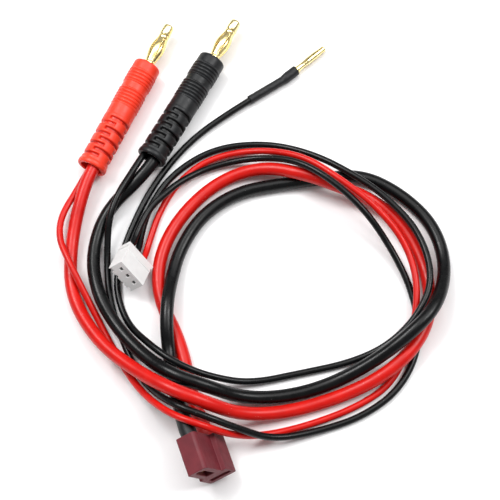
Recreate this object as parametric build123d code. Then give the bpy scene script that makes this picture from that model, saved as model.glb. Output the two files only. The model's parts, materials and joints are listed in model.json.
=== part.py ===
"""Balance charging lead: two 4 mm banana plugs, a T connector, a three-way balance connector
and a 2 mm bullet, joined by two thick and three thin silicone wires.

Frame: +Z up, +Y away from the T connector, origin under the middle of the connectors, on the
surface that the lead lies on. Millimetres. Each connector is made in its own frame, with +X
towards its mating end, and is then placed with place().
"""
from math import cos, pi, radians, sin, tan
import os

from build123d import *

# ---- driving dimensions -------------------------------------------------------------------
GAP = 0.02                 # between pieces of one connector that are pushed together

# banana plug, along X from the sleeve's rear face
SLEEVE_L = 34.0
SLEEVE_R = 3.85
SLEEVE_BORE_R = 3.15
SLEEVE_FLANGE_R = 4.1
SLEEVE_FLANGE_L = 1.4
FRONT_WALL = 3.0
NECK_HOLE_R = 2.0
RELIEF_FIRST = 2.6         # first strain-relief slot behind the rear face's flange
RELIEF_PITCH = 1.66
RELIEF_SLOTS = 8
RELIEF_SLOT_W = 0.75
RELIEF_SLOT_DEG = 126.0
RING_PITCH = 1.0
RING_DEPTH = 0.22
RING_W = 0.42
REAR_RINGS = (19.9, 5)     # first ring groove and how many
WAIST = (24.9, 26.6, 3.7)  # slightly thinner band between the ring groups
FRONT_RINGS = (27.1, 4)
CUP_X = 13.0
CUP_L = 17.0
CUP_R = 2.9
CUP_BORE_R = 2.35
CUP_BORE_L = 9.0
PIN_FLANGE_L = 0.9
CORE_R = 1.2
CAGE_CLEARANCE = 0.05      # radial, cage collar on core
CAGE_L = 9.9
CAGE_COLLAR_R = 1.42
CAGE_COLLAR_L = 1.1
CAGE_CREST_R = 2.12
CAGE_WALL = 0.3
CAGE_LEAVES = 6
CAGE_SLOT_W = 0.4
CAP_R = 1.6
CAP_L = 3.1
PIN_STICKS_OUT = 13.6

# wires
THICK_D = 3.5
THIN_D = 1.8
WIRE_START_X = 12.0        # where the insulation ends inside a banana sleeve

# bullet, along X; the heat-shrink bends where it steps down from the barrel to the wire
BULLET_SHRINK_L = 16.0
BULLET_STEP = 11.5
BULLET_BEND = 7.7          # degrees, tail of the heat-shrink against the barrel
BULLET_SHRINK_R = (1.2, 1.42)
BULLET_SHRINK_BORE_R = 0.96
BULLET_BARREL_R = 1.2
BULLET_BARREL_L = 4.0
BULLET_PIN_L = 10.65
BULLET_PIN_R = 0.85
BULLET_CREST_R = 1.0
BULLET_SLOT_W = 0.3

# T connector, X from rear to mating face, Y from the head (+) to the stem (-), Z thickness
T_L = 9.8
T_W = 14.0
T_HEAD_W = 5.9
T_HEAD_H = 7.8
T_STEM_H = 5.4
T_RIDGE = 1.0              # chamfer of the stem's edges
T_HEAD_SLOT = (1.9, 5.2)   # width along Y, height along Z
T_STEM_SLOT = (5.4, 2.3)
T_HEAD_SLOT_Y = 4.4
T_STEM_SLOT_Y = -2.7
T_SLOT_DEPTH = 7.8
T_CONTACT_T = 0.9
T_CONTACT_W = 4.2
T_SPRING_T = 0.25
T_TAB_L = 3.6
T_TAB_W = 2.7
T_WIRE_X = -4.0            # where the insulation ends behind the housing
T_SHRINK_L = 7.6
T_SHRINK_R = 2.1
T_SHRINK_BORE_R = 1.83

# balance connector, X from rear to mating face, Y across the row, Z up
BAL_PITCH = 2.5
BAL_L = 8.2
BAL_W = 8.8
BAL_EAR_W = 9.6
BAL_EAR_L = 1.3
BAL_H = 4.6
BAL_WALL = 0.6
BAL_CAVITY = 1.96
BAL_FRONT_HOLE = 1.0
BAL_HOLE_Z = 0.6           # the front holes sit above the middle of the row

# ---- where each connector lies: place of its X = 0 point, heading, nose-up and roll -------
RED_PLUG = ((-30.23, 20.15, SLEEVE_FLANGE_R), 64.8, 0, 0)
BLACK_PLUG = ((-14.23, 22.95, SLEEVE_FLANGE_R), 61.2, 0, 0)
BULLET = ((13.34, 40.55, BULLET_SHRINK_R[1]), 40.9, 0, 0)
T_PLUG = ((-0.33, -54.45, 7.97), -70.6, 5.2, -63)
BAL_PLUG = ((-17.53, -5.25, 4.07), -106, 30, -43.5)


def place(shape, pose):
    """Move a shape from a connector's own frame to where the connector lies."""
    origin, heading, nose_up, roll = pose
    where = Pos(*origin) * Rot(Z=heading) * Rot(Y=-nose_up) * Rot(X=roll)
    return where * shape


def point_at(pose, x, y=0.0, z=0.0):
    """A point of a connector's own frame, in the lead's frame."""
    return place(Vertex(x, y, z), pose).center()


def rod(x0, x1, r, y=0.0, z=0.0):
    """A cylinder along X."""
    return Pos((x0 + x1) / 2, y, z) * Rot(Y=90) * Cylinder(r, x1 - x0)


def block(x0, x1, width, height, y=0.0, z=0.0):
    return Pos((x0 + x1) / 2, y, z) * Box(x1 - x0, width, height)


def turned(outline):
    """A solid turned about X from (x, r) points."""
    face = Plane.XY * make_face(Polyline(*[(x, r) for x, r in outline], close=True))
    return revolve(face, Axis.X)


# ---- banana plugs -------------------------------------------------------------------------
def ring_grooves(first, count):
    cuts = []
    for k in range(count):
        x = first + k * RING_PITCH
        cuts.append(rod(x, x + RING_W, SLEEVE_R + 1) - rod(x - 1, x + 1, SLEEVE_R - RING_DEPTH))
    return cuts


def relief_slots():
    """Pairs of slots through the wall, each pair a quarter turn round from the last."""
    cuts = []
    for k in range(RELIEF_SLOTS):
        x = RELIEF_FIRST + k * RELIEF_PITCH
        for side in (0, 180):
            middle = 45 + 90 * (k % 2) + side
            wedge = Plane.YZ * make_face(
                Line((0, 0), polar(SLEEVE_R + 2, middle - RELIEF_SLOT_DEG / 2))
                + ThreePointArc(
                    polar(SLEEVE_R + 2, middle - RELIEF_SLOT_DEG / 2),
                    polar(SLEEVE_R + 2, middle),
                    polar(SLEEVE_R + 2, middle + RELIEF_SLOT_DEG / 2),
                )
                + Line(polar(SLEEVE_R + 2, middle + RELIEF_SLOT_DEG / 2), (0, 0))
            )
            cuts.append(Pos(x, 0, 0) * extrude(wedge, RELIEF_SLOT_W))
    return cuts


def polar(r, degrees):
    return (r * cos(radians(degrees)), r * sin(radians(degrees)))


def banana_sleeve():
    body = turned([
        (0, 0), (0, SLEEVE_FLANGE_R - 0.4), (0.4, SLEEVE_FLANGE_R),
        (SLEEVE_FLANGE_L, SLEEVE_FLANGE_R), (SLEEVE_FLANGE_L + 0.6, SLEEVE_R),
        (WAIST[0], SLEEVE_R), (WAIST[0] + 0.15, WAIST[2]), (WAIST[1] - 0.15, WAIST[2]),
        (WAIST[1], SLEEVE_R), (SLEEVE_L - 0.5, SLEEVE_R), (SLEEVE_L, SLEEVE_R - 0.5),
        (SLEEVE_L, 0),
    ])
    body -= rod(-1, SLEEVE_L - FRONT_WALL, SLEEVE_BORE_R)
    body -= rod(SLEEVE_L - FRONT_WALL - 1, SLEEVE_L + 1, NECK_HOLE_R)
    for cut in ring_grooves(*REAR_RINGS) + ring_grooves(*FRONT_RINGS) + relief_slots():
        body -= cut
    return body


def banana_pin():
    wall = SLEEVE_L - FRONT_WALL - GAP
    cap_back = SLEEVE_L + PIN_STICKS_OUT - CAP_L
    tip = SLEEVE_L + PIN_STICKS_OUT
    body = turned([
        (CUP_X, 0), (CUP_X, CUP_R), (CUP_X + CUP_L, CUP_R), (wall - PIN_FLANGE_L, CUP_R),
        (wall - PIN_FLANGE_L, SLEEVE_BORE_R - GAP), (wall, SLEEVE_BORE_R - GAP),
        (wall, NECK_HOLE_R - GAP), (SLEEVE_L + 0.3, NECK_HOLE_R - GAP),
        (SLEEVE_L + 0.3, CORE_R), (cap_back, CORE_R), (cap_back, CAP_R),
        (tip - 0.9, CAP_R), (tip - 0.3, CAP_R - 0.35), (tip, CAP_R - 0.85), (tip, 0),
    ])
    return body - rod(CUP_X - 1, CUP_X + CUP_BORE_L, CUP_BORE_R)


def banana_cage():
    """Lantern of bulged leaves between two collars that turn on the pin's core."""
    x0 = SLEEVE_L + 0.3 + 0.1
    x1 = x0 + CAGE_L
    middle = (x0 + x1) / 2 - 0.6
    bore = CORE_R + CAGE_CLEARANCE
    a = x0 + CAGE_COLLAR_L
    b = x1 - CAGE_COLLAR_L
    outline = (
        Polyline((a, bore), (x0, bore), (x0, CAGE_COLLAR_R), (a, CAGE_COLLAR_R))
        + ThreePointArc((a, CAGE_COLLAR_R), (middle, CAGE_CREST_R), (b, CAGE_COLLAR_R))
        + Polyline((b, CAGE_COLLAR_R), (x1, CAGE_COLLAR_R), (x1, bore), (b, bore))
        + ThreePointArc((b, bore), (middle, CAGE_CREST_R - CAGE_WALL), (a, bore))
    )
    body = revolve(Plane.XY * make_face(outline), Axis.X)
    for k in range(CAGE_LEAVES):
        slot = block(a, b, CAGE_SLOT_W, 4, z=2)
        body -= Rot(X=(k + 0.5) * 360 / CAGE_LEAVES) * slot
    return body


def banana_solder():
    return rod(WIRE_START_X + GAP, CUP_X + CUP_BORE_L, CUP_BORE_R - GAP)


# ---- bullet -------------------------------------------------------------------------------
def bullet_pin():
    front = BULLET_SHRINK_L
    tip = front + BULLET_PIN_L
    body = turned([
        (front - BULLET_BARREL_L, 0), (front - BULLET_BARREL_L, BULLET_BARREL_R),
        (front + 0.15, BULLET_BARREL_R), (front + 0.3, BULLET_PIN_R),
        (front + 2.6, BULLET_PIN_R), (front + 4.2, BULLET_CREST_R),
        (tip - 3.4, BULLET_CREST_R), (tip - 1.8, BULLET_PIN_R),
        (tip - 0.5, BULLET_PIN_R), (tip, 0.5), (tip, 0),
    ])
    body -= rod(front - BULLET_BARREL_L - 1, front - 1.2, 0.95)
    for turn in (0, 90):
        body -= Rot(X=turn) * block(front + 2.0, tip + 1, BULLET_SLOT_W, 4)
    return body


def bullet_tail(shape):
    """Turn something made along X, ending at the step, into the tail's direction."""
    return Pos(BULLET_STEP, 0, 0) * Rot(Z=-BULLET_BEND) * shape


def bullet_shrink():
    low, high = BULLET_SHRINK_R
    step = BULLET_STEP
    front = turned([
        (step - 0.9, 0), (step - 0.9, low - 0.05), (step - 0.5, low), (step + 0.5, high),
        (BULLET_SHRINK_L - 0.2, high), (BULLET_SHRINK_L, high - 0.12), (BULLET_SHRINK_L, 0),
    ])
    tail = bullet_tail(turned([
        (-step, 0), (-step, low - 0.1), (0.3 - step, low), (0.2, low), (0.2, 0),
    ]))
    body = front + tail
    body -= rod(step + 0.3, BULLET_SHRINK_L + 1, BULLET_BARREL_R + GAP)
    body -= bullet_tail(rod(-step - 1, 0.4, BULLET_SHRINK_BORE_R))
    return body


def bullet_solder():
    """Solder from the end of the insulation into the barrel."""
    return rod(BULLET_STEP - 1.0, BULLET_SHRINK_L - 1.2, 0.78)


# ---- T connector --------------------------------------------------------------------------
def t_housing():
    half = T_W / 2
    neck = half - T_HEAD_W
    outline = Polyline(
        (half, -T_HEAD_H / 2 + 0.5), (half - 0.5, -T_HEAD_H / 2), (neck, -T_HEAD_H / 2),
        (neck, -T_STEM_H / 2), (-half + T_RIDGE, -T_STEM_H / 2), (-half, -T_STEM_H / 2 + T_RIDGE),
        (-half, T_STEM_H / 2 - T_RIDGE), (-half + T_RIDGE, T_STEM_H / 2), (neck, T_STEM_H / 2),
        (neck, T_HEAD_H / 2), (half - 0.5, T_HEAD_H / 2), (half, T_HEAD_H / 2 - 0.5),
        close=True,
    )
    body = extrude(Plane.YZ * make_face(outline), T_L)
    floor = T_L - T_SLOT_DEPTH
    body -= block(floor, T_L + 1, *T_HEAD_SLOT, y=T_HEAD_SLOT_Y)
    body -= block(floor, T_L + 1, *T_STEM_SLOT, y=T_STEM_SLOT_Y)
    thick, wide = T_CONTACT_T + 2 * GAP, T_CONTACT_W + 2 * GAP
    body -= block(-1, floor + 1, thick, wide, y=contact_y())
    body -= block(-1, floor + 1, wide, thick, y=T_STEM_SLOT_Y, z=stem_z())
    return body


def contact_y():
    """The head contact lies against the outer wall of its slot."""
    return T_HEAD_SLOT_Y + T_HEAD_SLOT[0] / 2 - T_CONTACT_T / 2 - GAP


def stem_z():
    """The stem contact lies against the lower wall of its slot."""
    return -T_STEM_SLOT[1] / 2 + T_CONTACT_T / 2 + GAP


def t_contact_head():
    y = contact_y()
    blade = block(0.3, T_L - 1.2, T_CONTACT_T, T_CONTACT_W, y=y)
    return blade + block(-T_TAB_L, 0.3, T_CONTACT_T, T_TAB_W, y=y)


def t_contact_stem():
    y, z = T_STEM_SLOT_Y, stem_z()
    blade = block(0.3, T_L - 1.2, T_CONTACT_W, T_CONTACT_T, y=y, z=z)
    return blade + block(-T_TAB_L, 0.3, T_TAB_W, T_CONTACT_T, y=y, z=z)


def leaf_spring(bow):
    """A bowed leaf in the XZ plane, 3 mm wide, standing on z = 0 with its crest at z = bow."""
    a = T_L - T_SLOT_DEPTH + 0.15
    b = T_L - 1.6
    outline = (
        ThreePointArc((a, 0), ((a + b) / 2, bow), (b, 0))
        + Line((b, 0), (b, T_SPRING_T))
        + ThreePointArc((b, T_SPRING_T), ((a + b) / 2, bow + T_SPRING_T), (a, T_SPRING_T))
        + Line((a, T_SPRING_T), (a, 0))
    )
    return Pos(0, 1.5, 0) * extrude(Plane.XZ * make_face(outline), 3)


def t_spring_stem():
    room = T_STEM_SLOT[1] / 2
    return Pos(0, T_STEM_SLOT_Y, room - GAP) * Rot(X=180) * leaf_spring(0.6)


def t_spring_head():
    room = T_HEAD_SLOT_Y - T_HEAD_SLOT[0] / 2 + GAP
    return Pos(0, room, 0) * Rot(X=-90) * leaf_spring(0.35)


def t_shrink(y, z):
    tube = rod(-T_SHRINK_L, -0.3, T_SHRINK_R, y, z)
    return tube - rod(-T_SHRINK_L - 1, 0, T_SHRINK_BORE_R, y, z)


def t_solder(y, z, contact):
    """Solder that fills the heat-shrink between the wire's end and the housing, round the tab."""
    return rod(T_WIRE_X, -0.5, THICK_D / 2, y, z) - contact


# ---- balance connector --------------------------------------------------------------------
def way_y(k):
    return (k - 1) * BAL_PITCH


def balance_housing():
    body = block(0, BAL_L, BAL_W, BAL_H)
    body += block(0, BAL_EAR_L, BAL_EAR_W, BAL_H * 0.8, z=BAL_H * 0.1)
    body += block(BAL_EAR_L + 0.9, BAL_EAR_L + 1.5, BAL_W, 0.35, z=BAL_H / 2)
    body -= block(BAL_L - 2.0, BAL_L + 1, 1.2, 1.3, y=-BAL_W / 2 + 0.9, z=-BAL_H / 2)
    body -= block(BAL_L - 2.0, BAL_L + 1, 1.2, 1.3, y=BAL_W / 2 - 0.9, z=-BAL_H / 2)
    for k in range(3):
        y = way_y(k)
        body -= block(-1, BAL_L - BAL_WALL, BAL_CAVITY, BAL_CAVITY, y=y)
        hole = block(BAL_L - BAL_WALL - 1, BAL_L + 1, BAL_FRONT_HOLE, BAL_FRONT_HOLE)
        body -= Pos(0, y, BAL_HOLE_Z) * hole
        body -= block(2.4, 4.6, 1.1, 2, y=y, z=-BAL_H / 2)
        body -= block(BAL_L - 1.4, BAL_L + 1, 0.9, 0.8, y=y + 1.25, z=-BAL_H / 2)
    return body


def balance_contact(k):
    """Crimped socket: a square box at the front, a crimp barrel round the conductor behind."""
    y = way_y(k)
    side = BAL_CAVITY - 2 * GAP
    box = block(3.6, BAL_L - BAL_WALL - GAP, side, side, y=y)
    box -= block(3.6 + 0.4, BAL_L, 1.1, 1.1, y=y)
    barrel = rod(2.3, 3.6, THIN_D / 2, y) - rod(2.2, 2.9, 0.5, y)
    return box + barrel


# ---- wires: points of the route, first inside one connector, last inside the other --------
ROUTES = {
    "thick_red_wire": (THICK_D, [
        (-24.49, 30.71, 5), (-28.15, 22.93, 5), (-31.93, 14.15, 4.85), (-35.03, -0.75, 1.9),
        (-34.43, -15.25, 1.75), (-26.43, -28.55, 4.4), (-15.93, -37.25, 7.8),
        (-6.93, -43.05, 12.6), (1.07, -46.05, 12), (10.07, -47.75, 5.2), (21.57, -46.45, 1.75),
        (34.57, -42.75, 1.75), (46.07, -37.85, 4), (55.07, -30.05, 4.8), (59.77, -19.75, 3.2),
        (59.17, -8.25, 1.75), (54.37, 3.25, 1.75), (46.57, 11.25, 2.2), (37.07, 14.25, 5),
        (27.07, 17.75, 6.2), (16.07, 21.15, 2.9), (4.57, 17.75, 1.75), (-5.43, 8.25, 1.75),
        (-11.33, -3.25, 1.75), (-11.73, -15.25, 1.75), (-5.33, -27.75, 1.75),
        (-2.25, -42.34, 2.5), (0.57, -50.32, 3.28),
    ]),
    "thick_black_wire": (THICK_D, [
        (-7.44, 32.92, 4.1), (-11.58, 25.38, 4.1), (-16.53, 17.75, 3.9), (-26.03, 8.75, 1.9),
        (-29.33, -3.75, 2.4), (-27.23, -15.25, 4.1), (-21.73, -24.75, 4.1),
        (-13.93, -33.25, 6.2), (-6.43, -38.75, 9.9), (1.57, -41.25, 9), (10.57, -42.95, 3.2),
        (21.57, -42.35, 1.75), (33.07, -39.15, 1.75), (44.07, -33.85, 4.4),
        (53.37, -27.55, 8.5), (60.77, -19.75, 8.3), (64.37, -7.25, 2.2), (61.57, 4.75, 1.75),
        (53.07, 13.75, 1.75), (42.57, 19.35, 1.75), (31.07, 17.95, 1.75), (20.07, 16.45, 1.75),
        (9.07, 14.15, 1.75), (-0.43, 7.45, 1.75), (-6.03, -2.25, 1.9), (-8.03, -11.25, 3.2),
        (-8.83, -18.25, 5.9), (-8.93, -24.85, 5.6), (-8.23, -31.25, 3.3), (-7.03, -37.75, 4.6),
        (-5.82, -44.36, 9.04), (-3.44, -51.12, 9.7),
    ]),
    "thin_red_wire": (THIN_D, [
        (-25.84, 31.35, 2.35), (-32.44, 17.32, 2.2), (-39.43, 3.25, 3.9), (-33.43, -9.75, 5.4),
        (-27.43, -20.75, 1.2), (-21.73, -31.55, 0.9), (-15.33, -41.55, 4.5),
        (-7.63, -48.95, 11.9), (0.57, -52.25, 13.6), (8.57, -53.45, 6.6), (17.07, -52.15, 1.3),
        (28.57, -49.15, 0.9), (40.57, -44.45, 0.9), (49.57, -38.15, 0.9), (54.77, -25.85, 2),
        (56.57, -12.75, 4.3), (53.57, -1.25, 4.8), (46.07, 7.25, 8.2), (36.57, 14.75, 9.4),
        (26.57, 22.75, 7.2), (13.57, 26.75, 1.8), (0.57, 24.05, 0.9), (-7.43, 16.75, 0.9),
        (-11.73, 8.75, 0.9), (-13.83, 1.75, 0.9), (-15.31, -4.08, 1.07), (-16.57, -8.49, 3.72),
    ]),
    "thin_black_wire": (THIN_D, [
        (-10.29, 34.48, 4.1), (-14.14, 27.47, 4.1), (-17.71, 20.98, 5.3), (-24.53, 7.75, 7),
        (-25.43, -4.25, 1.2), (-24.23, -17.25, 0.9), (-18.73, -31.55, 1.6),
        (-13.53, -40.45, 4.6), (-6.53, -46.85, 12.7), (1.57, -49.85, 12.8), (9.57, -52.05, 8.8),
        (18.07, -53.65, 3.2), (29.57, -51.15, 0.9), (41.57, -47.15, 0.9), (51.57, -39.65, 0.9),
        (57.07, -27.25, 0.9), (55.27, -13.25, 0.9), (49.57, -1.75, 3.1), (42.57, 6.75, 8.4),
        (33.57, 14.75, 10.2), (24.57, 21.15, 7.8), (13.57, 23.95, 2.8), (1.57, 21.75, 1.2),
        (-6.13, 16.85, 3), (-10.43, 12.75, 3.6), (-14.23, 8.75, 3.5), (-16.63, 3.75, 3.6),
        (-18.33, -1.43, 4.05), (-19.59, -5.84, 6.7),
    ]),
    "middle_tap_wire": (THIN_D, [
        (21.1, 47.47, 1.42), (7.97, 38.9, 1.42), (-4.43, 29.25, 0.9), (-13.93, 16.25, 0.9),
        (-19.73, 2.75, 0.9), (-23.23, -10.25, 0.9), (-20.13, -22.05, 1.1),
        (-12.53, -30.25, 6.3), (-5.43, -35.45, 7.8), (2.57, -37.85, 5), (12.57, -38.65, 1.3),
        (25.57, -35.85, 0.9), (38.57, -33.05, 1), (48.57, -28.75, 2.6), (56.07, -21.55, 5.8),
        (60.27, -11.75, 5.9), (57.57, 1.05, 5), (49.37, 11.05, 5.2), (40.07, 18.05, 5.4),
        (29.07, 24.95, 3.5), (16.57, 29.05, 0.9), (2.57, 27.45, 0.9), (-8.63, 19.75, 0.9),
        (-14.43, 10.25, 0.9), (-16.33, 2.75, 1.5), (-16.83, -2.75, 2.56), (-18.08, -7.16, 5.21),
    ]),
}


def corner_radii(points):
    """Largest arcs that the runs leave room for: 0.45 of the shorter run at each corner."""
    radii = []
    for a, b, c in zip(points, points[1:], points[2:]):
        into, out = b - a, c - b
        turn = radians(into.get_angle(out))
        radii.append(0.45 * min(into.length, out.length) / tan(turn / 2))
    return radii


def cord(name, points, diameter):
    points = [Vector(p) for p in points]
    radii = corner_radii(points)
    path = FilletPolyline(*points, radius=radii)
    tube = sweep(Plane(points[0], z_dir=points[1] - points[0]) * Circle(diameter / 2), path)
    expected = pi * diameter ** 2 / 4 * path.length
    print(f"{name}: length {path.length:.1f} mm, smallest radius {min(radii):.1f} mm, "
          f"volume/expected {tube.volume / expected:.4f}")
    print("   radii", " ".join(f"{r:.0f}" for r in radii))
    return tube


# ---- the lead -----------------------------------------------------------------------------
def build():
    nodes = {}
    for colour, pose in (("red", RED_PLUG), ("black", BLACK_PLUG)):
        nodes[f"{colour}_banana_sleeve"] = place(banana_sleeve(), pose)
        nodes[f"{colour}_banana_pin"] = place(banana_pin(), pose)
        nodes[f"{colour}_spring_cage"] = place(banana_cage(), pose)
        nodes[f"{colour}_solder_slug"] = place(banana_solder(), pose)

    nodes["bullet_pin"] = place(bullet_pin(), BULLET)
    nodes["bullet_heat_shrink"] = place(bullet_shrink(), BULLET)
    nodes["bullet_solder_slug"] = place(bullet_solder(), BULLET)

    head, stem = t_contact_head(), t_contact_stem()
    nodes["t_housing"] = place(t_housing(), T_PLUG)
    nodes["t_contact_positive"] = place(head, T_PLUG)
    nodes["t_contact_negative"] = place(stem, T_PLUG)
    nodes["t_leaf_spring_positive"] = place(t_spring_head(), T_PLUG)
    nodes["t_leaf_spring_negative"] = place(t_spring_stem(), T_PLUG)
    nodes["t_heat_shrink_red"] = place(t_shrink(contact_y(), 0), T_PLUG)
    nodes["t_heat_shrink_black"] = place(t_shrink(T_STEM_SLOT_Y, stem_z()), T_PLUG)
    nodes["t_solder_positive"] = place(t_solder(contact_y(), 0, head), T_PLUG)
    nodes["t_solder_negative"] = place(t_solder(T_STEM_SLOT_Y, stem_z(), stem), T_PLUG)

    nodes["balance_housing"] = place(balance_housing(), BAL_PLUG)
    for k, way in enumerate(("negative", "middle", "positive")):
        nodes[f"balance_contact_{way}"] = place(balance_contact(k), BAL_PLUG)

    for name, (diameter, points) in ROUTES.items():
        nodes[name] = cord(name, points, diameter)
    return nodes


os.makedirs("parts", exist_ok=True)
for node, shape in build().items():
    export_step(shape, f"parts/{node}.step")
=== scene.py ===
"""Balance charging lead: silicone wires, moulded plugs and plated contacts, dressed on the
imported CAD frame. Metres, +Z up; connector details are written in millimetres in each
connector's own frame, with +X towards its mating end.
"""
import json
import math

import bmesh
import bpy
from mathutils import Matrix, Vector


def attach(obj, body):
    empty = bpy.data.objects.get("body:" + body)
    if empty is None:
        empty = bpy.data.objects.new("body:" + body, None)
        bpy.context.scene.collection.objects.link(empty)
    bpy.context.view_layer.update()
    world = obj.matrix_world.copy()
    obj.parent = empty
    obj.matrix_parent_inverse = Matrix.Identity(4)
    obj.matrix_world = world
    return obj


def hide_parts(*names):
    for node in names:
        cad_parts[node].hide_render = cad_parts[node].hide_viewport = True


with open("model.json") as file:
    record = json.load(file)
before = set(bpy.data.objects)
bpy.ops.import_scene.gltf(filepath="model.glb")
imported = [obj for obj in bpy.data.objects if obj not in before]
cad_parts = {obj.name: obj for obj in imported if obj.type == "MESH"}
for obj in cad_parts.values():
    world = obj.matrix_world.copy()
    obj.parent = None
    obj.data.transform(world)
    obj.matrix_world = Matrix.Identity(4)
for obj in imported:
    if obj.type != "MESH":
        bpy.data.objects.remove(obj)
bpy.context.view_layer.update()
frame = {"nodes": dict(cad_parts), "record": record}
NODES = frame["nodes"]
RECORD = frame["record"]
MOUNTS = {mount["name"]: mount for mount in RECORD["mounts"]}
SLOT_OF = {part["node"]: part["material_slot"] for part in RECORD["subparts"]}
MM = 0.001

# ---- camera -------------------------------------------------------------------------------
TARGET = Vector((0.01257, -0.00175, 0.0))
CAMERA_AT = Vector((0.01257, -0.1283, 0.3477))
camera_data = bpy.data.cameras.new("camera")
camera_data.lens = 100.0
camera_data.sensor_width = 36.0
camera_data.clip_start = 0.01
camera = bpy.data.objects.new("camera", camera_data)
camera.location = CAMERA_AT
camera.rotation_euler = (TARGET - CAMERA_AT).to_track_quat("-Z", "Y").to_euler()
bpy.context.scene.collection.objects.link(camera)
bpy.context.scene.camera = camera

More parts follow.
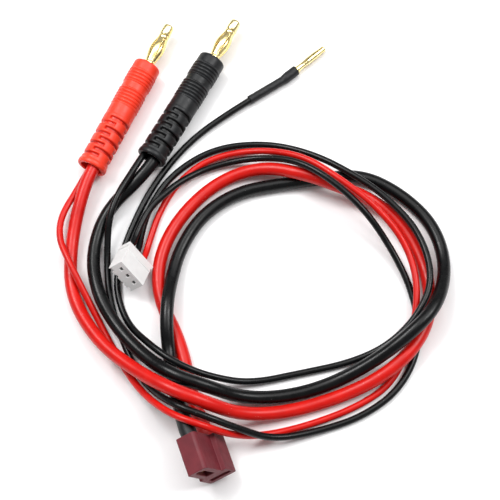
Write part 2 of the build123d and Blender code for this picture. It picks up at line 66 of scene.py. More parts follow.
# ---- wires --------------------------------------------------------------------------------
THICK_D = 0.0035
THIN_D = 0.0018
PLUG_L = 45.6                # mm, from a banana plug's rear face to its tip's mount
ROUTES = {                   # diameter and route, the same as the CAD solid's
    "thick_red_wire": (THICK_D, [
        (-0.02449, 0.03071, 0.005), (-0.02815, 0.02293, 0.005), (-0.03193, 0.01415, 0.00485),
        (-0.03503, -0.00075, 0.0019), (-0.03443, -0.01525, 0.00175), (-0.02643, -0.02855, 0.0044),
        (-0.01593, -0.03725, 0.0078), (-0.00693, -0.04305, 0.0126), (0.00107, -0.04605, 0.012),
        (0.01007, -0.04775, 0.0052), (0.02157, -0.04645, 0.00175), (0.03457, -0.04275, 0.00175),
        (0.04607, -0.03785, 0.004), (0.05507, -0.03005, 0.0048), (0.05977, -0.01975, 0.0032),
        (0.05917, -0.00825, 0.00175), (0.05437, 0.00325, 0.00175), (0.04657, 0.01125, 0.0022),
        (0.03707, 0.01425, 0.005), (0.02707, 0.01775, 0.0062), (0.01607, 0.02115, 0.0029),
        (0.00457, 0.01775, 0.00175), (-0.00543, 0.00825, 0.00175), (-0.01133, -0.00325, 0.00175),
        (-0.01173, -0.01525, 0.00175), (-0.00533, -0.02775, 0.00175),
        (-0.00225, -0.04234, 0.0025), (0.00057, -0.05032, 0.00328),
    ]),
    "thick_black_wire": (THICK_D, [
        (-0.00744, 0.03292, 0.0041), (-0.01158, 0.02538, 0.0041), (-0.01653, 0.01775, 0.0039),
        (-0.02603, 0.00875, 0.0019), (-0.02933, -0.00375, 0.0024), (-0.02723, -0.01525, 0.0041),
        (-0.02173, -0.02475, 0.0041), (-0.01393, -0.03325, 0.0062), (-0.00643, -0.03875, 0.0099),
        (0.00157, -0.04125, 0.009), (0.01057, -0.04295, 0.0032), (0.02157, -0.04235, 0.00175),
        (0.03307, -0.03915, 0.00175), (0.04407, -0.03385, 0.0044), (0.05337, -0.02755, 0.0085),
        (0.06077, -0.01975, 0.0083), (0.06437, -0.00725, 0.0022), (0.06157, 0.00475, 0.00175),
        (0.05307, 0.01375, 0.00175), (0.04257, 0.01935, 0.00175), (0.03107, 0.01795, 0.00175),
        (0.02007, 0.01645, 0.00175), (0.00907, 0.01415, 0.00175), (-0.00043, 0.00745, 0.00175),
        (-0.00603, -0.00225, 0.0019), (-0.00803, -0.01125, 0.0032), (-0.00883, -0.01825, 0.0059),
        (-0.00893, -0.02485, 0.0056), (-0.00823, -0.03125, 0.0033), (-0.00703, -0.03775, 0.0046),
        (-0.00582, -0.04436, 0.00904), (-0.00344, -0.05112, 0.0097),
    ]),
    "thin_red_wire": (THIN_D, [
        (-0.02584, 0.03135, 0.00235), (-0.03244, 0.01732, 0.0022), (-0.03943, 0.00325, 0.0039),
        (-0.03343, -0.00975, 0.0054), (-0.02743, -0.02075, 0.0012), (-0.02173, -0.03155, 0.0009),
        (-0.01533, -0.04155, 0.0045), (-0.00763, -0.04895, 0.0119), (0.00057, -0.05225, 0.0136),
        (0.00857, -0.05345, 0.0066), (0.01707, -0.05215, 0.0013), (0.02857, -0.04915, 0.0009),
        (0.04057, -0.04445, 0.0009), (0.04957, -0.03815, 0.0009), (0.05477, -0.02585, 0.002),
        (0.05657, -0.01275, 0.0043), (0.05357, -0.00125, 0.0048), (0.04607, 0.00725, 0.0082),
        (0.03657, 0.01475, 0.0094), (0.02657, 0.02275, 0.0072), (0.01357, 0.02675, 0.0018),
        (0.00057, 0.02405, 0.0009), (-0.00743, 0.01675, 0.0009), (-0.01173, 0.00875, 0.0009),
        (-0.01383, 0.00175, 0.0009), (-0.01531, -0.00408, 0.00107), (-0.01657, -0.00849, 0.00372),
    ]),
    "thin_black_wire": (THIN_D, [
        (-0.01029, 0.03448, 0.0041), (-0.01414, 0.02747, 0.0041), (-0.01771, 0.02098, 0.0053),
        (-0.02453, 0.00775, 0.007), (-0.02543, -0.00425, 0.0012), (-0.02423, -0.01725, 0.0009),
        (-0.01873, -0.03155, 0.0016), (-0.01353, -0.04045, 0.0046), (-0.00653, -0.04685, 0.0127),
        (0.00157, -0.04985, 0.0128), (0.00957, -0.05205, 0.0088), (0.01807, -0.05365, 0.0032),
        (0.02957, -0.05115, 0.0009), (0.04157, -0.04715, 0.0009), (0.05157, -0.03965, 0.0009),
        (0.05707, -0.02725, 0.0009), (0.05527, -0.01325, 0.0009), (0.04957, -0.00175, 0.0031),
        (0.04257, 0.00675, 0.0084), (0.03357, 0.01475, 0.0102), (0.02457, 0.02115, 0.0078),
        (0.01357, 0.02395, 0.0028), (0.00157, 0.02175, 0.0012), (-0.00613, 0.01685, 0.003),
        (-0.01043, 0.01275, 0.0036), (-0.01423, 0.00875, 0.0035), (-0.01663, 0.00375, 0.0036),
        (-0.01833, -0.00143, 0.00405), (-0.01959, -0.00584, 0.0067),
    ]),
    "middle_tap_wire": (THIN_D, [
        (0.0211, 0.04747, 0.00142), (0.00797, 0.0389, 0.00142), (-0.00443, 0.02925, 0.0009),
        (-0.01393, 0.01625, 0.0009), (-0.01973, 0.00275, 0.0009), (-0.02323, -0.01025, 0.0009),
        (-0.02013, -0.02205, 0.0011), (-0.01253, -0.03025, 0.0063), (-0.00543, -0.03545, 0.0078),
        (0.00257, -0.03785, 0.005), (0.01257, -0.03865, 0.0013), (0.02557, -0.03585, 0.0009),
        (0.03857, -0.03305, 0.001), (0.04857, -0.02875, 0.0026), (0.05607, -0.02155, 0.0058),
        (0.06027, -0.01175, 0.0059), (0.05757, 0.00105, 0.005), (0.04937, 0.01105, 0.0052),
        (0.04007, 0.01805, 0.0054), (0.02907, 0.02495, 0.0035), (0.01657, 0.02905, 0.0009),
        (0.00257, 0.02745, 0.0009), (-0.00863, 0.01975, 0.0009), (-0.01443, 0.01025, 0.0009),
        (-0.01633, 0.00275, 0.0015), (-0.01683, -0.00275, 0.00256), (-0.01808, -0.00716, 0.00521),
    ]),
}


def mount_point(name, back_mm):
    """A point back_mm behind a mount, along its axis."""
    mount = MOUNTS[name]
    return Vector(mount["pos_m"]) - Vector(mount["axis"]) * back_mm * MM


def link(obj):
    bpy.context.scene.collection.objects.link(obj)
    return obj


def traced(name, curve, thickness):
    """The mesh that Blender gives for a curve with that bevel depth."""
    curve.bevel_depth = thickness
    guide = link(bpy.data.objects.new(name + "_guide", curve))
    graph = bpy.context.evaluated_depsgraph_get()
    mesh = bpy.data.meshes.new_from_object(guide.evaluated_get(graph))
    bpy.data.objects.remove(guide)
    return mesh


def wire(name, diameter, points):
    """The insulation's tube, and the points of its middle line."""
    curve = bpy.data.curves.new(name, "CURVE")
    curve.dimensions = "3D"
    curve.resolution_u = 16
    curve.bevel_resolution = 7
    curve.use_fill_caps = True
    spline = curve.splines.new("NURBS")
    spline.points.add(len(points) - 1)
    for knot, point in zip(spline.points, points):
        knot.co = (*point, 1.0)
    spline.order_u = 3
    spline.use_endpoint_u = True
    spline.use_smooth = True
    line = [vertex.co.copy() for vertex in traced(name, curve, 0.0).vertices]
    tube = traced(name, curve, diameter / 2)
    for polygon in tube.polygons:
        polygon.use_smooth = len(polygon.vertices) == 4
    return link(bpy.data.objects.new(name + "_insulation", tube)), line


WIRES = {}
for node, (diameter, points) in ROUTES.items():
    piece, line = wire(node, diameter, points)
    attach(piece, "lead")
    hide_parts(node)
    WIRES[node] = piece


# ---- materials ----------------------------------------------------------------------------
def shader(name, color, roughness, metallic=0.0, **sockets):
    """A new Principled material. Returns the material and its shader node."""
    material = bpy.data.materials.new(name)
    material.use_nodes = True
    bsdf = material.node_tree.nodes["Principled BSDF"]
    bsdf.inputs["Base Color"].default_value = (*color, 1.0)
    bsdf.inputs["Roughness"].default_value = roughness
    bsdf.inputs["Metallic"].default_value = metallic
    for socket, value in sockets.items():
        bsdf.inputs[socket.replace("_", " ")].default_value = value
    return material, bsdf


def textured(tree, kind, scale):
    """A texture node on object coordinates; scale is in features per metre."""
    place = tree.nodes.new("ShaderNodeTexCoord")
    out = tree.nodes.new(kind)
    out.inputs["Scale"].default_value = scale
    tree.links.new(place.outputs["Object"], out.inputs["Vector"])
    return out


def noise(tree, scale, detail=3.0):
    out = textured(tree, "ShaderNodeTexNoise", scale)
    out.inputs["Detail"].default_value = detail
    out.inputs["Roughness"].default_value = 0.55
    return out.outputs["Fac"]


def ramp(tree, source, *stops):
    """A colour ramp; each stop is (position, value or colour)."""
    node = tree.nodes.new("ShaderNodeValToRGB")
    elements = node.color_ramp.elements
    while len(elements) < len(stops):
        elements.new(0.5)
    for element, (position, value) in zip(elements, stops):
        element.position = position
        color = value if isinstance(value, tuple) else (value, value, value)
        element.color = (*color, 1.0)
    tree.links.new(source, node.inputs["Fac"])
    return node.outputs["Color"]


def blend(tree, factor, base, color):
    """The base colour where the factor is 0, another one where it is 1."""
    mix = tree.nodes.new("ShaderNodeMix")
    mix.data_type = "RGBA"
    base_in, color_in, color_out = mix.inputs[6], mix.inputs[7], mix.outputs[2]
    tree.links.new(factor, mix.inputs["Factor"])
    tree.links.new(base, base_in)
    color_in.default_value = (*color, 1.0)
    return color_out


def relief(tree, bsdf, height, strength, distance):
    """Fine bump; distance is its height in metres."""
    bump = tree.nodes.new("ShaderNodeBump")
    bump.inputs["Strength"].default_value = strength
    bump.inputs["Distance"].default_value = distance
    tree.links.new(height, bump.inputs["Height"])
    tree.links.new(bump.outputs["Normal"], bsdf.inputs["Normal"])


def dust(tree, base, color, share, size, scale):
    """Sparse specks of a colour over a base colour: a share of Voronoi cells carry one each."""
    cells = textured(tree, "ShaderNodeTexVoronoi", scale)
    near = ramp(tree, cells.outputs["Distance"], (size * 0.6, 1.0), (size, 0.0))
    split = tree.nodes.new("ShaderNodeSeparateColor")
    tree.links.new(cells.outputs["Color"], split.inputs["Color"])
    chosen = ramp(tree, split.outputs["Red"], (1.0 - share - 0.001, 0.0), (1.0 - share, 1.0))
    both = tree.nodes.new("ShaderNodeMath")
    both.operation = "MULTIPLY"
    tree.links.new(near, both.inputs[0])
    tree.links.new(chosen, both.inputs[1])
    return blend(tree, both.outputs["Value"], base, color)


def painted_recess_shade(tree, base, color):
    """The base colour, turning to a darker one where a mesh's recess attribute says so: painted
    shade in slots, bores and sockets.
    """
    depth = tree.nodes.new("ShaderNodeAttribute")
    depth.attribute_name = "recess"
    return blend(tree, depth.outputs["Fac"], base, color)


def silicone(name, dark, light, roughness, speck, gloss):
    """Smooth, slightly uneven insulation with a little dust."""
    material, bsdf = shader(name, light, roughness, Specular_IOR_Level=gloss)
    tree = material.node_tree
    tone = ramp(tree, noise(tree, 220.0, 4.0), (0.3, dark), (0.7, light))
    tree.links.new(dust(tree, tone, speck, 0.05, 0.11, 1500.0), bsdf.inputs["Base Color"])
    sheen = ramp(tree, noise(tree, 600.0), (0.3, roughness - 0.05), (0.7, roughness + 0.07))
    tree.links.new(sheen, bsdf.inputs["Roughness"])
    relief(tree, bsdf, noise(tree, 1800.0, 3.0), 0.12, 0.00003)
    return material


def moulded(name, dark, light, roughness, grain=0.10, speck=None, recess_shade=None, **sockets):
    """Moulded or shrunk plastic; grain is the strength of its bump, and the recess colour is
    painted shade in its slots and sockets.
    """
    material, bsdf = shader(name, light, roughness, **sockets)
    tree = material.node_tree
    tone = ramp(tree, noise(tree, 300.0, 5.0), (0.3, dark), (0.7, light))
    if speck:
        tone = dust(tree, tone, speck, 0.04, 0.12, 1400.0)
    # painted shade: recesses turn towards a darker colour with their depth
    if recess_shade:
        tone = painted_recess_shade(tree, tone, recess_shade)
    tree.links.new(tone, bsdf.inputs["Base Color"])
    sheen = ramp(tree, noise(tree, 700.0), (0.3, roughness - 0.05), (0.7, roughness + 0.06))
    tree.links.new(sheen, bsdf.inputs["Roughness"])
    relief(tree, bsdf, noise(tree, 2250.0, 4.0), grain, 0.00004)
    return material


def plated(name, dark, light, roughness):
    """Bright metal with a faintly worn finish."""
    material, bsdf = shader(name, light, roughness, metallic=1.0)
    tree = material.node_tree
    tone = ramp(tree, noise(tree, 500.0, 4.0), (0.3, dark), (0.7, light))
    tree.links.new(tone, bsdf.inputs["Base Color"])
    sheen = ramp(tree, noise(tree, 1600.0, 5.0), (0.25, roughness - 0.04), (0.75, roughness + 0.1))
    tree.links.new(sheen, bsdf.inputs["Roughness"])
    relief(tree, bsdf, noise(tree, 2600.0, 2.0), 0.05, 0.00002)
    return material


# The recess colours below are painted shade for slot floors, bores and socket insides.
MATERIALS = {
    "red_silicone": silicone(
        "red_silicone", (0.50, 0.004, 0.002), (0.60, 0.007, 0.003), 0.32, (0.95, 0.55, 0.5), 0.3),
    "black_silicone": silicone(
        "black_silicone", (0.0014, 0.0016, 0.0018), (0.003, 0.0033, 0.0038), 0.28,
        (0.22, 0.22, 0.22), 0.25),
    "red_sleeve": moulded(
        "red_sleeve", (0.80, 0.035, 0.012), (0.90, 0.05, 0.02), 0.42, speck=(1.0, 0.4, 0.3),
        recess_shade=(0.42, 0.006, 0.003), Specular_IOR_Level=0.4),
    "black_sleeve": moulded(
        "black_sleeve", (0.005, 0.0055, 0.006), (0.009, 0.010, 0.0115), 0.42,
        speck=(0.16, 0.16, 0.16), recess_shade=(0.001, 0.001, 0.001), Specular_IOR_Level=0.32),
    "gold_plate": plated("gold_plate", (1.0, 0.80, 0.36), (1.0, 0.88, 0.50), 0.2),
    "gold_spring": plated("gold_spring", (1.0, 0.76, 0.30), (1.0, 0.86, 0.45), 0.22),
    "solder": plated("solder", (0.55, 0.55, 0.57), (0.72, 0.72, 0.74), 0.34),
    "maroon_nylon": moulded(
        "maroon_nylon", (0.11, 0.012, 0.019), (0.16, 0.018, 0.026), 0.55, grain=0.3,
        recess_shade=(0.006, 0.001, 0.001), Specular_IOR_Level=0.35),
    "white_nylon": moulded(
        "white_nylon", (0.70, 0.70, 0.695), (0.76, 0.76, 0.755), 0.36, grain=0.06),
    "tinned_contact": plated("tinned_contact", (0.55, 0.55, 0.53), (0.75, 0.75, 0.72), 0.3),
    "red_shrink": moulded(
        "red_shrink", (0.50, 0.008, 0.008), (0.60, 0.014, 0.012), 0.5, grain=0.2),
    "black_shrink": moulded(
        "black_shrink", (0.004, 0.0043, 0.005), (0.008, 0.0088, 0.010), 0.48, grain=0.22,
        Specular_IOR_Level=0.35),
}


def dress(obj, slot):
    """Give an object its slot's material and no other."""
    obj.data.materials.clear()
    obj.data.materials.append(MATERIALS[slot])


for node, obj in (*NODES.items(), *WIRES.items()):
    dress(obj, SLOT_OF[node])


# ---- connector frames ---------------------------------------------------------------------
BULLET_L = 21.725
T_L = 9.8
T_HEAD_Y = 4.4               # the positive socket's middle


def frame_at(origin, along, across=None):
    """From a connector's own millimetres, with +X along it, to the lead's metres."""
    x = Vector(along).normalized()
    y = Vector(across) if across is not None else Vector((0.0, 0.0, 1.0)).cross(x)
    z = x.cross(y).normalized()
    y = z.cross(x)
    turn = Matrix((x, y, z)).transposed().to_4x4()
    return Matrix.Translation(origin) @ turn @ Matrix.Scale(MM, 4)


T_AXIS = Vector(MOUNTS["t_socket_positive"]["axis"])
T_ACROSS = (Vector(MOUNTS["t_socket_positive"]["pos_m"])
            - Vector(MOUNTS["t_socket_negative"]["pos_m"])).normalized()
T_AT = frame_at(
    mount_point("t_socket_positive", T_L) - T_ACROSS * T_HEAD_Y * MM, T_AXIS, T_ACROSS)
BULLET_AT = frame_at(mount_point("bullet_spring", BULLET_L), MOUNTS["bullet_spring"]["axis"])
BANANA_AT = {
    colour: frame_at(
        mount_point(colour + "_plug_tip", PLUG_L), MOUNTS[colour + "_plug_tip"]["axis"])
    for colour in ("red", "black")
}


# ---- mesh building ------------------------------------------------------------------------
def smoothstep(t):
    """From 0 to 1 with level ends, held beyond them."""
    t = min(1.0, max(0.0, t))
    return t * t * (3.0 - 2.0 * t)


def follow(points, x):
    """The value at x of a line through (x, value) points."""
    for (x0, v0), (x1, v1) in zip(points, points[1:]):
        if x <= x1:
            return v0 + (v1 - v0) * (x - x0) / (x1 - x0)
    return points[-1][1]


def span(start, stop, step):
    """Evenly spaced stations from start up to, but without, stop."""
    count = max(1, round((stop - start) / step))
    return [start + (stop - start) * k / count for k in range(count)]


def ring_faces(rings, steps, closed=True):
    """Quads between neighbouring rings of points; closed also joins the last to the first."""
    faces = []
    for i in range(rings if closed else rings - 1):
        j = (i + 1) % rings
        for k in range(steps):
            m = (k + 1) % steps
            faces.append((i * steps + k, i * steps + m, j * steps + m, j * steps + k))
    return faces


def turned(outline, steps, closed=True, shape=None):
    """Rings of an (x, r) outline about X. shape(x, r, angle) may change a ring's radius."""
    verts = []
    for x, r in outline:
        for k in range(steps):
            angle = 2 * math.pi * k / steps
            radius = shape(x, r, angle) if shape else r
            verts.append((x, radius * math.cos(angle), radius * math.sin(angle)))
    return verts, ring_faces(len(outline), steps, closed)


def join(*shells):
    """Several shells as one."""
    verts, faces = [], []
    for shell_verts, shell_faces in shells:
        first = len(verts)
        verts += shell_verts
        faces += [tuple(first + index for index in face) for face in shell_faces]
    return verts, faces


def finish_piece(obj, slot, body, replaced, sharp):
    """Smooth shading up to an edge angle, the slot's material, and the frame's bookkeeping."""
    for polygon in obj.data.polygons:
        polygon.use_smooth = True
    obj.data.set_sharp_from_angle(angle=math.radians(sharp))
    dress(obj, slot)
    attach(obj, body)
    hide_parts(*replaced)
    return obj


def shade_recesses(mesh, at, recess):
    """Store how deep in a slot each point is, from 0 to 1, for the material's painted shade."""
    if recess is None:
        return
    back = at.inverted()
    depth = mesh.attributes.new("recess", "FLOAT", "POINT")
    depth.data.foreach_set("value", [recess(back @ v.co) for v in mesh.vertices])


def mesh_piece(name, shell, at, slot, body, *replaced, sharp=40.0, recess=None):
    """A piece from a shell in a connector's own frame."""
    verts, faces = shell
    shape = bmesh.new()
    corners = [shape.verts.new(at @ Vector(v)) for v in verts]
    for face in faces:
        shape.faces.new([corners[index] for index in face])
    bmesh.ops.remove_doubles(shape, verts=shape.verts, dist=1e-7)
    bmesh.ops.recalc_face_normals(shape, faces=shape.faces)
    mesh = bpy.data.meshes.new(name)
    shape.to_mesh(mesh)
    shape.free()
    shade_recesses(mesh, at, recess)
    return finish_piece(link(bpy.data.objects.new(name, mesh)), slot, body, replaced, sharp)


# ---- banana plugs -------------------------------------------------------------------------
SLOT_FIRST, SLOT_PITCH, SLOT_COUNT = 2.52, 1.66, 8
SLOT_WIDTH, SLOT_HALF_ANGLE, SLOT_DEPTH = 0.94, 63.0, 0.8
SLOT_WALL_W, SLOT_END_DEGREES = 0.12, 3.5
SHOULDER_W, SHOULDER_DEPTH = 0.28, 0.1
RING_CENTRES = [20.11 + k for k in range(5)] + [27.31 + k for k in range(4)]
RING_WIDTH, RING_DEPTH = 0.19, 0.26
BORE_LIMIT = 3.2             # every point of the sleeve's inside lies within this radius
SLEEVE_OUTLINE = [
    (0.0, 3.72), (0.12, 3.93), (0.35, 4.07), (0.6, 4.1), (1.0, 4.1), (1.25, 4.06), (1.45, 3.95),
    (1.65, 3.86), (15.8, 3.85), (16.1, 3.78), (19.3, 3.78), (19.55, 3.91), (24.55, 3.91),
    (24.8, 3.7), (26.65, 3.7), (26.9, 3.94), (30.85, 3.94), (31.1, 3.8), (33.2, 3.8),
    (33.6, 3.77), (33.8, 3.69), (33.94, 3.56), (34.0, 3.38),
]
SLEEVE_STATIONS = (
    [0.0, 0.06, 0.12, 0.22, 0.35, 0.6, 1.0, 1.25, 1.45, 1.65, 1.9]
    + span(2.1, 16.2, 0.1) + span(16.2, 19.2, 0.4) + span(19.2, 31.2, 0.1)
    + span(31.2, 33.2, 0.4) + [33.2, 33.35, 33.5, 33.63, 33.75, 33.84, 33.92, 33.97, 34.0]
)
SLEEVE_INSIDE = [
    (34.0, 1.72), (33.9, 1.62), (31.0, 1.62), (31.0, 3.16), (13.0, 3.16), (12.0, 2.95),
    (0.3, 2.95), (0.1, 3.0), (0.0, 3.12),
]


def slot_depth(x, angle):
    """How far a strain-relief slot, with its soft shoulders, cuts in at a point of the wall."""
    deepest = 0.0
    for k in range(SLOT_COUNT):
        x0 = SLOT_FIRST + k * SLOT_PITCH
        outside = max(x0 - x, x - x0 - SLOT_WIDTH)
        if outside > SHOULDER_W:
            continue
        turn = (math.degrees(angle) - 45.0 - 90.0 * (k % 2)) % 180.0
        turn = min(turn, 180.0 - turn)
        ends = smoothstep((SLOT_HALF_ANGLE + 1.5 - turn) / SLOT_END_DEGREES)
        wall = smoothstep(-outside / SLOT_WALL_W)
        shoulder = max(0.0, 1.0 - max(0.0, outside) / SHOULDER_W) ** 2
        deepest = max(deepest, ends * (SLOT_DEPTH * wall + SHOULDER_DEPTH * shoulder * (1 - wall)))
    return deepest


def sleeve_radius(x, r, angle):
    """The outside's radius, less the grip rings and the strain-relief slots."""
    if r <= BORE_LIMIT:
        return r
    grooves = sum(math.exp(-(((x - centre) / RING_WIDTH) ** 2)) for centre in RING_CENTRES)
    return r - RING_DEPTH * grooves - slot_depth(x, angle)


def sleeve_recess(p):
    """Where painted shade darkens the sleeve: slot floors, and the bore seen through the mouth."""
    r = math.hypot(p.y, p.z)
    if r < BORE_LIMIT:
        return 0.7 * smoothstep(p.x / 2.0) if p.x < 13.0 else 0.0
    return smoothstep((slot_depth(p.x, math.atan2(p.z, p.y)) - 0.15) / (SLOT_DEPTH - 0.2))


def sleeve_shell():
    """A banana plug's sleeve, outside and bore."""
    outside = [(x, follow(SLEEVE_OUTLINE, x)) for x in SLEEVE_STATIONS]
    return turned(outside + SLEEVE_INSIDE, 144, shape=sleeve_radius)


PIN_OUTLINE = [              # from the floor of the solder cup, over cup, flange, core and tip
    (22.0, 0.0), (22.0, 2.35), (13.0, 2.35), (13.0, 2.88), (30.1, 2.88), (30.1, 3.1),
    (30.96, 3.1), (30.96, 1.58), (34.2, 1.58), (34.3, 1.48), (34.3, 1.2), (44.36, 1.2),
    (44.36, 1.44), (44.75, 1.6), (46.9, 1.6), (47.2, 1.57), (47.42, 1.48), (47.56, 1.34),
    (47.6, 1.18), (47.58, 1.0), (47.45, 0.86), (47.0, 0.78), (46.7, 0.6), (46.6, 0.3),
    (46.58, 0.0),
]
CAGE_FROM, CAGE_TO = 34.4, 44.3
COLLAR_L, COLLAR_BORE_R, COLLAR_R, COLLAR_BEVEL = 1.1, 1.26, 1.46, 0.06
LEAVES, LEAF_STEPS, LEAF_ACROSS = 6, 28, 8
LEAF_R, LEAF_BULGE, LEAF_THICKNESS = 1.43, 0.69, 0.15
LEAF_CROWN, LEAF_EDGE = 0.09, 0.02
LEAF_ROOT = 0.2              # how far a leaf runs into its collars
GAP_HALF, GAP_OPENING = 0.09, 0.11


def cage_shell():
    """Lantern of bulged leaves with lens-shaped gaps, between two collars."""
    shells = []
    for x0 in (CAGE_FROM, CAGE_TO - COLLAR_L):
        x1 = x0 + COLLAR_L
        edge = COLLAR_R - COLLAR_BEVEL
        shells.append(turned([
            (x0, COLLAR_BORE_R), (x0, edge), (x0 + COLLAR_BEVEL, COLLAR_R),
            (x1 - COLLAR_BEVEL, COLLAR_R), (x1, edge), (x1, COLLAR_BORE_R),
        ], 60))
    start, stop = CAGE_FROM + COLLAR_L - LEAF_ROOT, CAGE_TO - COLLAR_L + LEAF_ROOT
    ring = 2 * (LEAF_ACROSS + 1)
    for leaf in range(LEAVES):
        verts = []
        for step in range(LEAF_STEPS + 1):
            t = step / LEAF_STEPS
            x = start + (stop - start) * t
            swell = math.sin(math.pi * t ** 1.12) ** 1.25
            r = LEAF_R + LEAF_BULGE * swell
            half = math.pi / LEAVES - (GAP_HALF + GAP_OPENING * swell) / r
            for side, thickness in ((1, 0.0), (-1, LEAF_THICKNESS)):
                for k in range(LEAF_ACROSS + 1):
                    u = side * (2 * k / LEAF_ACROSS - 1)
                    angle = 2 * math.pi * (leaf + 0.5) / LEAVES + half * u
                    rounding = LEAF_CROWN * u * u * swell + LEAF_EDGE * u ** 6
                    radius = r - thickness - rounding
                    verts.append((x, radius * math.cos(angle), radius * math.sin(angle)))
        ends = [tuple(range(ring)), tuple(LEAF_STEPS * ring + k for k in range(ring))]
        shells.append((verts, ring_faces(LEAF_STEPS + 1, ring, closed=False) + ends))
    return join(*shells)


for colour, at in BANANA_AT.items():
    mesh_piece(colour + "_sleeve_moulding", sleeve_shell(), at, colour + "_sleeve", "lead",
               colour + "_banana_sleeve", sharp=60.0, recess=sleeve_recess)
    mesh_piece(colour + "_pin_turning", turned(PIN_OUTLINE, 72, closed=False), at,
               "gold_plate", "lead", colour + "_banana_pin")
    mesh_piece(colour + "_cage_spring", cage_shell(), at, "gold_spring",
               colour + "_spring_cage", colour + "_spring_cage", sharp=50.0)


# ---- heat-shrink --------------------------------------------------------------------------
def bent_tube(stations, heading, radius, wall, steps=48):
    """A thin tube whose middle line starts at its front and turns with heading(s)."""
    front = max(stations)
    line, point = [], Vector((front, 0.0, 0.0))
    for s, behind in zip(stations[::-1], stations[::-1][1:] + [None]):
        turn = heading(s)
        line.append((s, point.copy(), turn))
        if behind is not None:
            point -= Vector((math.cos(turn), math.sin(turn), 0.0)) * (s - behind)
    verts = []
    for inner in (False, True):
        for s, middle, turn in (line[::-1] if inner else line):
            side = Vector((-math.sin(turn), math.cos(turn), 0.0))
            for k in range(steps):
                angle = 2 * math.pi * k / steps
                r = radius(s, angle) - (wall if inner else 0.0)
                verts.append(middle + side * r * math.cos(angle)
                             + Vector((0.0, 0.0, 1.0)) * r * math.sin(angle))
    return verts, ring_faces(2 * len(line), steps)


def lips(s, length):
    """Rounding of a tube's two ends."""
    near = min(s, length - s)
    return 0.09 * (1.0 - smoothstep(near / 0.12))


def ripple(s, angle, size):
    """The slight unevenness of shrunk tube."""
    return size * (math.sin(1.9 * s + 2.0 * math.sin(angle + 0.6))
                   + 0.6 * math.sin(3.7 * s - 2.3 * math.cos(2.0 * angle)))


BULLET_SHRINK_L, BULLET_SHRINK_R, BULLET_STEP, BULLET_BEND = 16.0, 1.2, 0.22, 7.7
T_SHRINK_L, T_SHRINK_R, T_SHRINK_SWELL, T_SHRINK_BACK = 7.3, 1.98, 0.14, 7.6


def bullet_heading(s):
    """The tail's bend against the barrel, which ends where the tube steps up."""
    return -math.radians(BULLET_BEND) * (1.0 - smoothstep((s - 10.6) / 1.8))


def bullet_shrink_radius(s, angle):
    return (BULLET_SHRINK_R + BULLET_STEP * smoothstep((s - 10.8) / 1.5)
            - lips(s, BULLET_SHRINK_L) + ripple(s, angle, 0.012))


def t_shrink_radius(s, angle):
    return (T_SHRINK_R + T_SHRINK_SWELL * smoothstep((s - 1.5) / 3.0)
            - lips(s, T_SHRINK_L) + ripple(s, angle, 0.02))


mesh_piece(
    "bullet_shrink_tube",
    bent_tube([0.0, 0.05, 0.12] + span(0.3, 15.8, 0.25) + [15.8, 15.9, 15.96, BULLET_SHRINK_L],
              bullet_heading, bullet_shrink_radius, wall=0.17),
    BULLET_AT, "black_shrink", "lead", "bullet_heat_shrink", sharp=50.0)

for colour, y, z in (("red", 4.88, 0.0), ("black", -2.7, -0.68)):
    mesh_piece(
        "t_shrink_tube_" + colour,
        bent_tube([0.0, 0.05, 0.12] + span(0.3, 7.2, 0.2) + [7.2, 7.26, T_SHRINK_L],
                  lambda s: 0.0, t_shrink_radius, wall=0.14),
        T_AT @ Matrix.Translation((-T_SHRINK_BACK, y, z)), colour + "_shrink", "lead",
        "t_heat_shrink_" + colour, sharp=50.0)


# ---- moulded housings ---------------------------------------------------------------------
def softened(name, source, bevel, slot, node, segments=3, at=None, recess=None):
    """A welded copy of a mesh with its edges rounded, standing for a CAD node."""
    shape = bmesh.new()
    shape.from_mesh(source)
    bmesh.ops.remove_doubles(shape, verts=shape.verts, dist=2e-6)
    bmesh.ops.dissolve_limit(
        shape, angle_limit=math.radians(1.0), verts=shape.verts, edges=shape.edges)
    edges = [e for e in shape.edges
             if len(e.link_faces) == 2 and e.calc_face_angle() > math.radians(20.0)]
    bmesh.ops.bevel(shape, geom=edges, offset=bevel * MM, offset_type="OFFSET",
                    segments=segments, profile=0.5, affect="EDGES", clamp_overlap=True)
    bmesh.ops.recalc_face_normals(shape, faces=shape.faces)
    mesh = bpy.data.meshes.new(name)
    shape.to_mesh(mesh)
    shape.free()
    shade_recesses(mesh, at, recess)
    obj = finish_piece(link(bpy.data.objects.new(name, mesh)), slot, "lead", [node], 60.0)
    weights = obj.modifiers.new("face_weights", "WEIGHTED_NORMAL")
    weights.keep_sharp = True
    weights.weight = 100
    return obj


def prism(outline, x0, x1):
    """A bar along X from a (y, z) outline."""
    count = len(outline)
    verts = [(x0, y, z) for y, z in outline] + [(x1, y, z) for y, z in outline]
    faces = [tuple(range(count)), tuple(range(2 * count - 1, count - 1, -1))]
    faces += [(k, (k + 1) % count, count + (k + 1) % count, count + k) for k in range(count)]
    return verts, faces


def slab(x0, x1, y0, y1, z0, z1):
    return prism([(y0, z0), (y1, z0), (y1, z1), (y0, z1)], x0, x1)


def carved(name, shell, cuts, at):
    """The mesh of a solid less its cuts, in the lead's frame."""
    made = []
    for index, (verts, faces) in enumerate([shell] + cuts):
        mesh = bpy.data.meshes.new(f"{name}_{index}")
        mesh.from_pydata([at @ Vector(v) for v in verts], [], faces)
        shape = bmesh.new()
        shape.from_mesh(mesh)
        bmesh.ops.recalc_face_normals(shape, faces=shape.faces)
        shape.to_mesh(mesh)
        shape.free()
        made.append(link(bpy.data.objects.new(f"{name}_{index}", mesh)))
    body, tools = made[0], made[1:]
    for tool in tools:
        cut = body.modifiers.new("cut", "BOOLEAN")
        cut.operation = "DIFFERENCE"
        cut.solver = "EXACT"
        cut.object = tool
    graph = bpy.context.evaluated_depsgraph_get()
    result = bpy.data.meshes.new_from_object(body.evaluated_get(graph))
    for obj in made:
        bpy.data.objects.remove(obj)
    return result


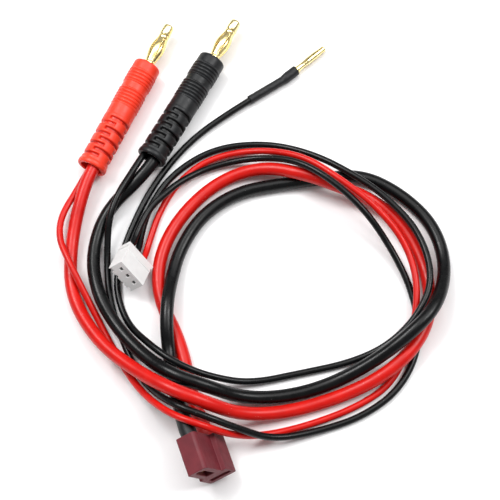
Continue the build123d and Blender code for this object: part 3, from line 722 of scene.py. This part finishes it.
T_OUTLINE = [
    (7.0, -3.3), (6.4, -3.9), (1.1, -3.9), (1.1, -2.7), (-6.6, -2.7), (-7.0, -2.3),
    (-7.0, 1.9), (-6.75, 2.45), (-6.2, 2.7), (1.1, 2.7), (1.1, 3.9), (6.5, 3.9), (7.0, 3.4),
]
T_CUTS = [
    slab(2.0, 11.0, 3.45, 5.35, -2.6, 2.6),          # head's socket
    slab(2.0, 11.0, -5.4, 0.0, -1.15, 1.15),         # stem's socket
    slab(6.0, 11.0, -6.15, -5.3, -0.75, 0.35),       # notch beside the stem's
    slab(6.0, 11.0, 3.75, 5.05, 2.5, 3.3),           # notch beside the head's
    slab(-1.0, 3.0, 4.41, 5.35, -2.12, 2.12),        # way through for the head's contact
    slab(-1.0, 3.0, -4.82, -0.58, -1.15, -0.21),     # way through for the stem's contact
]


def t_recess(p):
    """The insides of the two sockets, with painted shade darker towards their floors."""
    head = 3.3 < p.y < 5.5 and abs(p.z) < 3.3
    stem = -6.1 < p.y < 0.15 and abs(p.z) < 1.3
    return smoothstep((9.75 - p.x) / 1.2) if (head or stem) and p.x > 1.0 else 0.0


softened("t_housing_moulding", carved("t_solid", prism(T_OUTLINE, 0.0, T_L), T_CUTS, T_AT),
         0.16, "maroon_nylon", "t_housing", at=T_AT, recess=t_recess)
softened("balance_housing_moulding", NODES["balance_housing"].data, 0.09, "white_nylon",
         "balance_housing", segments=2)

# ---- floor and light ----------------------------------------------------------------------
FLOOR_HALF = 1.2
floor_mesh = bpy.data.meshes.new("floor")
floor_mesh.from_pydata(
    [(-FLOOR_HALF, -FLOOR_HALF, 0), (FLOOR_HALF, -FLOOR_HALF, 0),
     (FLOOR_HALF, FLOOR_HALF, 0), (-FLOOR_HALF, FLOOR_HALF, 0)], [], [(0, 1, 2, 3)])
floor = link(bpy.data.objects.new("floor", floor_mesh))
paper = shader("paper", (0.93, 0.925, 0.93), 0.7, Specular_IOR_Level=0.2)[0]
floor.data.materials.append(paper)


def softbox(name, at, size, energy):
    """A white rectangular light in watts, aimed at the lead."""
    light = bpy.data.lights.new(name, "AREA")
    light.shape = "RECTANGLE"
    light.size, light.size_y = size
    light.energy = energy
    obj = link(bpy.data.objects.new(name, light))
    obj.location = at
    aim = Vector((0.01, 0.0, 0.0)) - Vector(at)
    obj.rotation_euler = aim.to_track_quat("-Z", "Y").to_euler()


softbox("key_light", (-0.4, 0.3, 0.8), (0.4, 0.3), 5.2)
softbox("fill_light", (0.5, 0.15, 0.7), (0.3, 0.4), 3.6)
softbox("top_light", (0.0, 0.3, 0.9), (1.1, 0.7), 5.5)

world = bpy.data.worlds.new("studio")
world.use_nodes = True
world.node_tree.nodes["Background"].inputs["Color"].default_value = (1.0, 1.0, 1.0, 1.0)
world.node_tree.nodes["Background"].inputs["Strength"].default_value = 0.32
bpy.context.scene.world = world
bpy.context.scene.view_settings.view_transform = "Standard"
